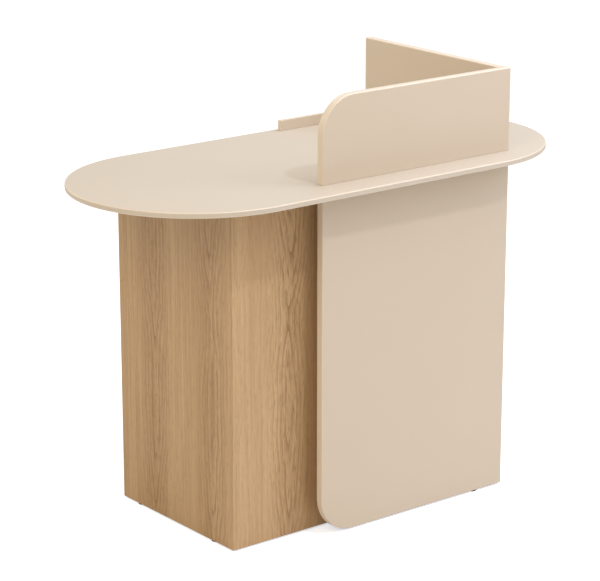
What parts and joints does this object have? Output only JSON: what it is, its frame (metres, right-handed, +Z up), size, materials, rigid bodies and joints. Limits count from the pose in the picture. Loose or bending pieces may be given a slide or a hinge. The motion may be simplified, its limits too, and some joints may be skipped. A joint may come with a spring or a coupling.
{
  "type": "checkout counter",
  "caption": "Small checkout counter: racetrack worktop, oak-faced cabinet, proud cream front panel, L-shaped screen, locking drawer, hinged cupboard door and open shelves.",
  "frame": {"origin": "on the floor, under the middle of the worktop", "axes": "+X along the worktop towards the screen's return, +Y towards the operator, +Z up"},
  "size_m": [1.2, 0.57, 0.989],
  "materials": {
    "cream_lacquer": "satin cream lacquer on board, eased edges",
    "oak_veneer": "matt natural oak veneer, vertical grain",
    "white_drawer_board": "smooth off-white foil",
    "zinc_plated_steel": "bright zinc plating",
    "satin_nickel": "satin nickel",
    "grey_nylon": "matt grey nylon",
    "cream_plastic": "fine matt cream plastic"
  },
  "bodies": {
    "cabinet": {"worktop": "cream_lacquer", "screen_front": "cream_lacquer", "screen_return": "cream_lacquer", "rear_upstand": "cream_lacquer", "front_panel": "cream_lacquer", "right_gable": "cream_lacquer", "left_side": "oak_veneer", "front_board": "oak_veneer", "panel_spacer_left": "oak_veneer", "panel_spacer_right": "oak_veneer", "bottom_board": "oak_veneer", "divider": "oak_veneer", "drawer_deck": "oak_veneer", "niche_shelf": "oak_veneer", "top_rail_rear": "oak_veneer", "top_rail_front": "oak_veneer", "plinth": "oak_veneer", "glide_1": "grey_nylon", "glide_2": "grey_nylon", "glide_3": "grey_nylon", "glide_4": "grey_nylon", "glide_5": "grey_nylon", "glide_6": "grey_nylon", "open_shelf": "oak_veneer", "shelf_pin_1": "zinc_plated_steel", "shelf_pin_2": "zinc_plated_steel", "shelf_pin_3": "zinc_plated_steel", "shelf_pin_4": "zinc_plated_steel", "runner_outer_left": "zinc_plated_steel", "runner_outer_right": "zinc_plated_steel", "upper_hinge_fixed_leaf": "zinc_plated_steel", "upper_hinge_pin": "zinc_plated_steel", "lower_hinge_fixed_leaf": "zinc_plated_steel", "lower_hinge_pin": "zinc_plated_steel", "door_catch": "cream_plastic", "grommet_ring": "cream_plastic"},
    "drawer": {"drawer_front": "oak_veneer", "drawer_side_left": "white_drawer_board", "drawer_side_right": "white_drawer_board", "drawer_back": "white_drawer_board", "drawer_bottom": "white_drawer_board", "drawer_pull": "satin_nickel", "drawer_lock_housing": "satin_nickel", "runner_inner_left": "zinc_plated_steel", "runner_inner_right": "zinc_plated_steel"},
    "runner_middle": {"runner_middle_left": "zinc_plated_steel", "runner_middle_right": "zinc_plated_steel"},
    "drawer_lock": {"drawer_lock_plug": "satin_nickel", "drawer_lock_cam": "zinc_plated_steel"},
    "door": {"door": "oak_veneer", "door_pull": "satin_nickel", "door_lock_housing": "satin_nickel", "upper_hinge_door_leaf": "zinc_plated_steel", "lower_hinge_door_leaf": "zinc_plated_steel", "door_catch_plate": "zinc_plated_steel"},
    "door_lock": {"door_lock_plug": "satin_nickel", "door_lock_cam": "zinc_plated_steel"},
    "grommet_cap": {"grommet_cap": "cream_plastic"}
  },
  "joints": [
    {"name": "drawer_slide", "type": "slide", "parent": "cabinet", "child": "drawer", "axis": [0, 1, 0], "range_m": [0, 0.34]},
    {"name": "runner_slide", "type": "slide", "parent": "cabinet", "child": "runner_middle", "axis": [0, 1, 0], "range_m": [0, 0.17]},
    {"name": "drawer_lock_turn", "type": "hinge", "parent": "drawer", "child": "drawer_lock", "pos_m": [-0.07735, 0.267, 0.7157], "axis": [0, 1, 0], "range_deg": [0, 90]},
    {"name": "door_swing", "type": "hinge", "parent": "cabinet", "child": "door", "pos_m": [-0.325, 0.2708, 0.3368], "axis": [0, 0, 1], "range_deg": [0, 110]},
    {"name": "door_lock_turn", "type": "hinge", "parent": "door", "child": "door_lock", "pos_m": [-0.01, 0.267, 0.3717], "axis": [0, 1, 0], "range_deg": [0, 90]},
    {"name": "grommet_cap_turn", "type": "hinge", "parent": "cabinet", "child": "grommet_cap", "pos_m": [0.314, -0.0767, 0.8], "axis": [0, 0, 1], "continuous": true}
  ],
  "couplings": [
    {"joint": "runner_slide", "follows": "drawer_slide", "ratio": 0.5}
  ]
}
